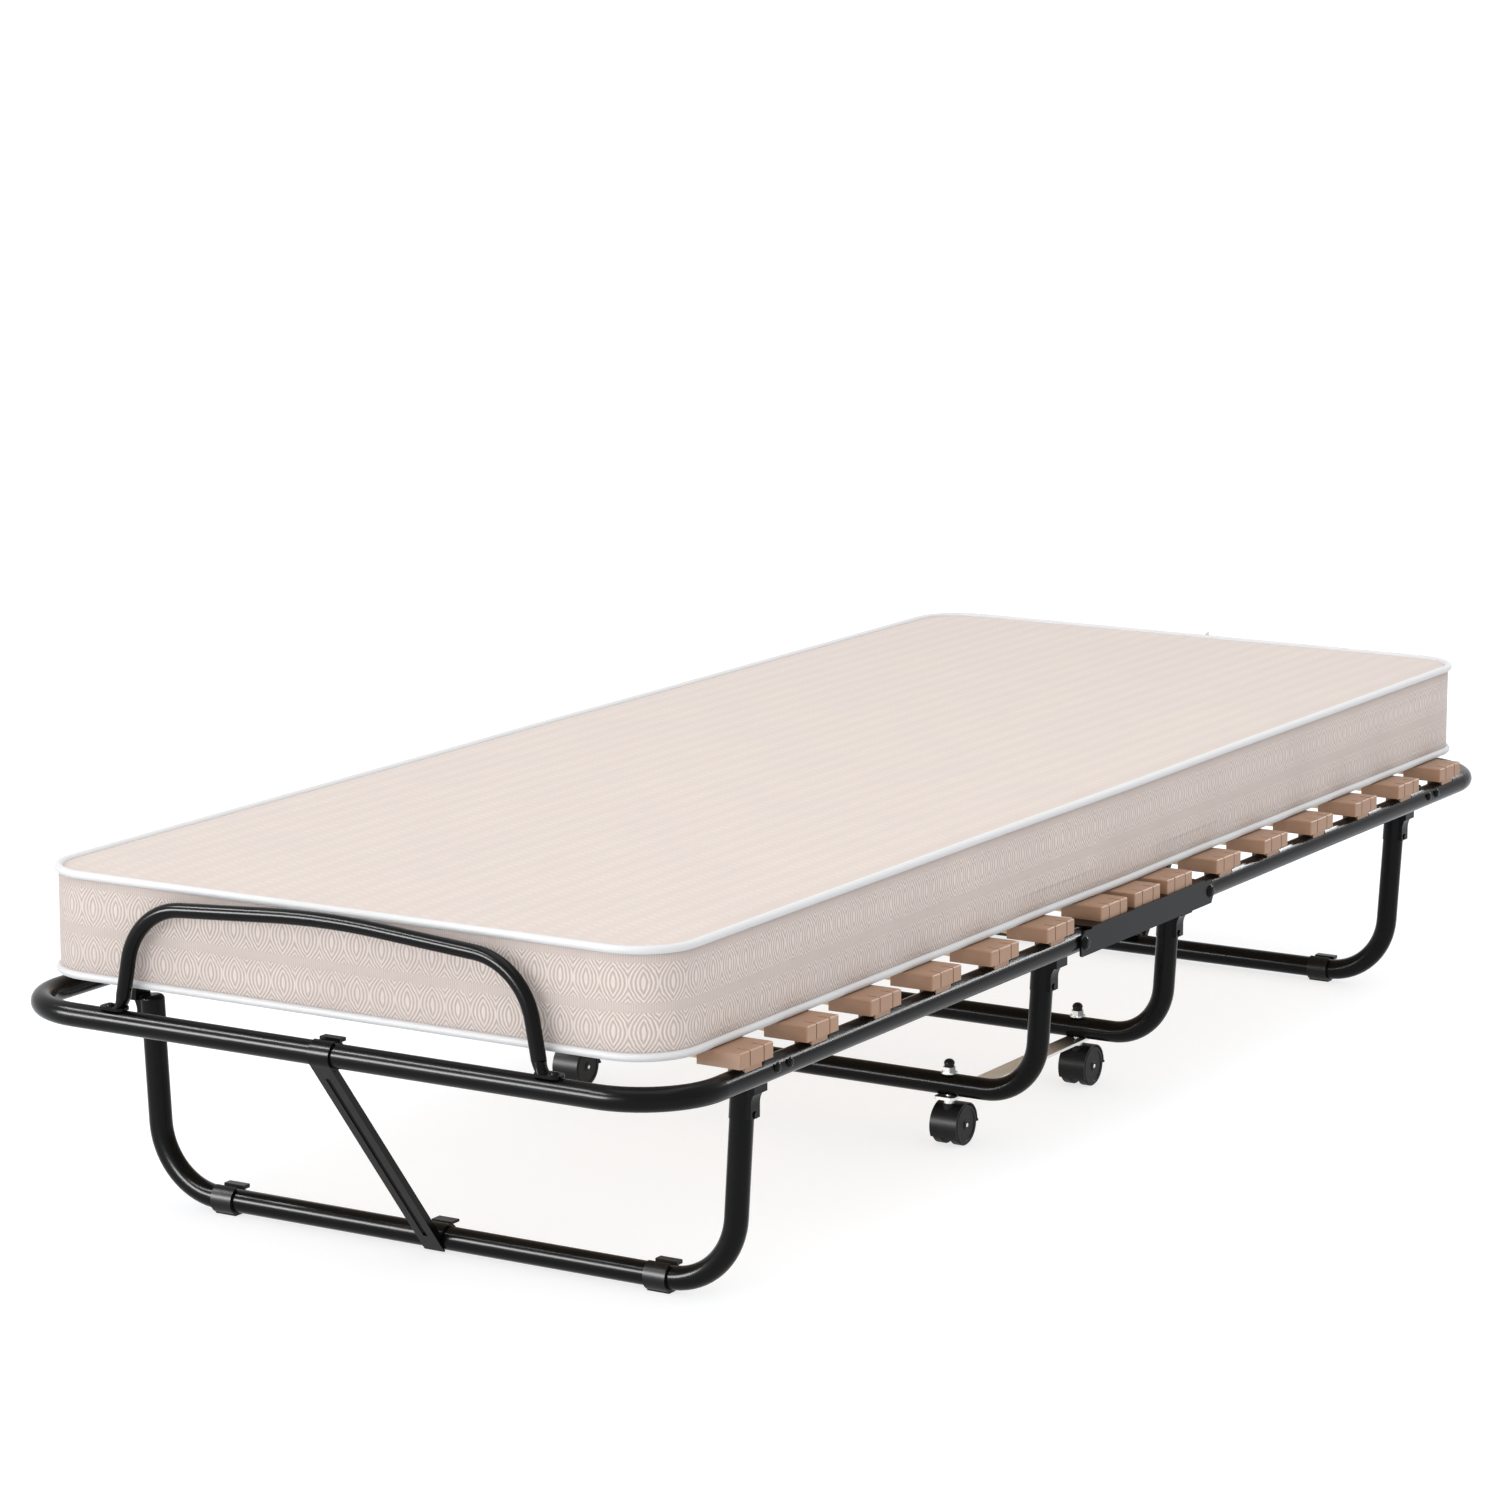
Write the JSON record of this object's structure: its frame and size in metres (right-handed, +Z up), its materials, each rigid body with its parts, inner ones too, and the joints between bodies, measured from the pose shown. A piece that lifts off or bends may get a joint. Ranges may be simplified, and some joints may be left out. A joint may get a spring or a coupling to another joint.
{
  "type": "rollaway bed",
  "caption": "Folding rollaway bed: a hinged tube frame with wood slats and a mattress, folding end legs, and a centre section on casters.",
  "frame": {"origin": "on the floor under the middle of the open bed", "axes": "+Y along the bed towards the end that carries the lock clip, +X across the bed, +Z up"},
  "size_m": [0.8122, 1.9102, 0.382],
  "materials": {
    "black_paint": "gloss powder coat",
    "cap_plastic": "satin moulded",
    "slat_wood": "clear satin",
    "mattress_cloth": "jacquard ticking",
    "black_plastic": "moulded",
    "hood_plastic": "moulded",
    "wheel_plastic": "moulded",
    "zinc": "bright zinc plate",
    "clip_plastic": "moulded"
  },
  "bodies": {
    "centre": {"caster_leg_far": "black_paint", "caster_leg_near": "black_paint", "hinge_bolts": "black_paint", "hinge_plate_left": "black_paint", "hinge_plate_right": "black_paint", "link_strip_left": "zinc", "link_strip_right": "zinc", "slat_centre_1": "slat_wood", "slat_centre_2": "slat_wood", "slat_centre_3": "slat_wood", "slat_caps_centre": "cap_plastic", "mattress_middle": "mattress_cloth", "caster_stems": "zinc", "caster_nuts": "zinc", "caster_nut_caps": "black_plastic"},
    "section_near": {"frame_near": "black_paint", "leg_brackets_near": "black_paint", "leg_pivots_near": "black_paint", "mattress_near": "mattress_cloth", "rail_plugs_near": "black_plastic", "retainer_near": "black_paint", "rivets_near": "black_paint", "slat_caps_near": "cap_plastic", "slat_near_1": "slat_wood", "slat_near_2": "slat_wood", "slat_near_3": "slat_wood", "slat_near_4": "slat_wood", "slat_near_5": "slat_wood", "slat_near_6": "slat_wood"},
    "section_far": {"frame_far": "black_paint", "leg_brackets_far": "black_paint", "leg_pivots_far": "black_paint", "mattress_far": "mattress_cloth", "rail_plugs_far": "black_plastic", "retainer_far": "black_paint", "rivets_far": "black_paint", "slat_caps_far": "cap_plastic", "slat_far_1": "slat_wood", "slat_far_2": "slat_wood", "slat_far_3": "slat_wood", "slat_far_4": "slat_wood", "slat_far_5": "slat_wood", "slat_far_6": "slat_wood"},
    "end_leg_near": {"end_leg_near": "black_paint", "foot_clips_near": "black_plastic"},
    "end_leg_far": {"end_leg_far": "black_paint", "foot_clips_far": "black_plastic"},
    "brace_near": {"brace_near": "black_paint"},
    "brace_far": {"brace_far": "black_paint"},
    "lock_clip": {"lock_clip": "clip_plastic"},
    "caster_1": {"caster_hood_1": "hood_plastic"},
    "wheels_1": {"caster_wheels_1": "wheel_plastic"},
    "caster_2": {"caster_hood_2": "hood_plastic"},
    "wheels_2": {"caster_wheels_2": "wheel_plastic"},
    "caster_3": {"caster_hood_3": "hood_plastic"},
    "wheels_3": {"caster_wheels_3": "wheel_plastic"},
    "caster_4": {"caster_hood_4": "hood_plastic"},
    "wheels_4": {"caster_wheels_4": "wheel_plastic"}
  },
  "joints": [
    {"name": "fold_near", "type": "hinge", "parent": "centre", "child": "section_near", "pos_m": [0, -0.148, 0.241], "axis": [-1, 0, 0], "range_deg": [0, 90], "deforming": ["mattress_middle"]},
    {"name": "fold_far", "type": "hinge", "parent": "centre", "child": "section_far", "pos_m": [0, 0.148, 0.241], "axis": [1, 0, 0], "range_deg": [0, 90], "deforming": ["mattress_middle"]},
    {"name": "leg_near", "type": "hinge", "parent": "section_near", "child": "end_leg_near", "pos_m": [0, -0.756, 0.233], "axis": [1, 0, 0], "range_deg": [0, 90]},
    {"name": "leg_far", "type": "hinge", "parent": "section_far", "child": "end_leg_far", "pos_m": [0, 0.756, 0.233], "axis": [-1, 0, 0], "range_deg": [0, 90]},
    {"name": "brace_near", "type": "hinge", "parent": "section_near", "child": "brace_near", "pos_m": [0, -0.9405, 0.241], "axis": [1, 0, 0], "range_deg": [0, 50]},
    {"name": "brace_far", "type": "hinge", "parent": "section_far", "child": "brace_far", "pos_m": [0, 0.9405, 0.241], "axis": [-1, 0, 0], "range_deg": [0, 50]},
    {"name": "lock_swing", "type": "hinge", "parent": "section_far", "child": "lock_clip", "pos_m": [0, 0.9405, 0.37132], "axis": [1, 0, 0], "range_deg": [0, 180]},
    {"name": "swivel_1", "type": "hinge", "parent": "centre", "child": "caster_1", "pos_m": [-0.241, -0.148, 0.045], "axis": [0, 0, 1], "continuous": true},
    {"name": "roll_1", "type": "hinge", "parent": "caster_1", "child": "wheels_1", "pos_m": [-0.241, -0.138, 0.0225], "axis": [1, 0, 0], "continuous": true},
    {"name": "swivel_2", "type": "hinge", "parent": "centre", "child": "caster_2", "pos_m": [0.241, -0.148, 0.045], "axis": [0, 0, 1], "continuous": true},
    {"name": "roll_2", "type": "hinge", "parent": "caster_2", "child": "wheels_2", "pos_m": [0.241, -0.138, 0.0225], "axis": [1, 0, 0], "continuous": true},
    {"name": "swivel_3", "type": "hinge", "parent": "centre", "child": "caster_3", "pos_m": [-0.241, 0.148, 0.045], "axis": [0, 0, 1], "continuous": true},
    {"name": "roll_3", "type": "hinge", "parent": "caster_3", "child": "wheels_3", "pos_m": [-0.241, 0.158, 0.0225], "axis": [1, 0, 0], "continuous": true},
    {"name": "swivel_4", "type": "hinge", "parent": "centre", "child": "caster_4", "pos_m": [0.241, 0.148, 0.045], "axis": [0, 0, 1], "continuous": true},
    {"name": "roll_4", "type": "hinge", "parent": "caster_4", "child": "wheels_4", "pos_m": [0.241, 0.158, 0.0225], "axis": [1, 0, 0], "continuous": true}
  ],
  "couplings": [
    {"joint": "brace_near", "follows": "leg_near", "ratio": 0.5555},
    {"joint": "brace_far", "follows": "leg_far", "ratio": 0.5555}
  ]
}
